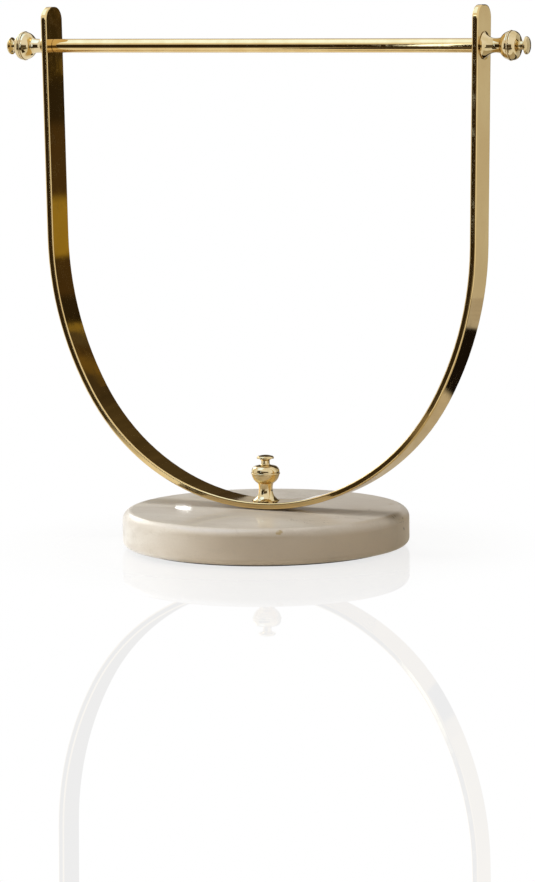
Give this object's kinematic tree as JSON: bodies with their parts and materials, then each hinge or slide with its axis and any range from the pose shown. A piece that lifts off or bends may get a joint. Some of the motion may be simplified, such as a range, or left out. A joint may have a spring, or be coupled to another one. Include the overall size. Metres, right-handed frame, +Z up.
{
  "type": "freestanding towel stand",
  "caption": "Flat brass strap bent to a U on a round marble base, with a round towel bar between its arms and turned finials at the bar's ends and in the bottom of the U.",
  "frame": {"origin": "bottom centre of the pad under the base", "axes": "+X along the towel bar, +Z up, +Y to the back, so that the U stands in the XZ plane"},
  "size_m": [0.3552, 0.18, 0.337],
  "materials": {
    "marble": "polished marble, warm grey white with faint veins",
    "felt": "dense felt",
    "soft_pad": "soft clear washer",
    "brass_strap": "polished and lacquered",
    "brass_bar": "polished and lacquered",
    "brass_plain": "as turned",
    "brass_finial": "turned, polished and lacquered",
    "steel": "bright zinc plate"
  },
  "bodies": {
    "stand": {"marble_base": "marble", "base_felt": "felt", "strap_pad": "soft_pad", "u_strap": "brass_strap", "towel_bar": "brass_bar", "bar_insert_left": "brass_plain", "bar_insert_right": "brass_plain", "bar_stud_left": "steel", "bar_stud_right": "steel", "base_washer": "steel", "lock_washer": "steel", "base_screw": "steel"},
    "left_finial": {"finial_left": "brass_finial"},
    "right_finial": {"finial_right": "brass_finial"},
    "bottom_finial": {"finial_base": "brass_finial"}
  },
  "joints": [
    {"name": "left_finial_turn", "type": "hinge", "parent": "stand", "child": "left_finial", "pos_m": [-0.16, 0, 0.3125], "axis": [-1, 0, 0], "continuous": true},
    {"name": "right_finial_turn", "type": "hinge", "parent": "stand", "child": "right_finial", "pos_m": [0.16, 0, 0.3125], "axis": [1, 0, 0], "continuous": true},
    {"name": "bottom_finial_turn", "type": "hinge", "parent": "stand", "child": "bottom_finial", "pos_m": [0, 0, 0.045], "axis": [0, 0, 1], "continuous": true}
  ]
}
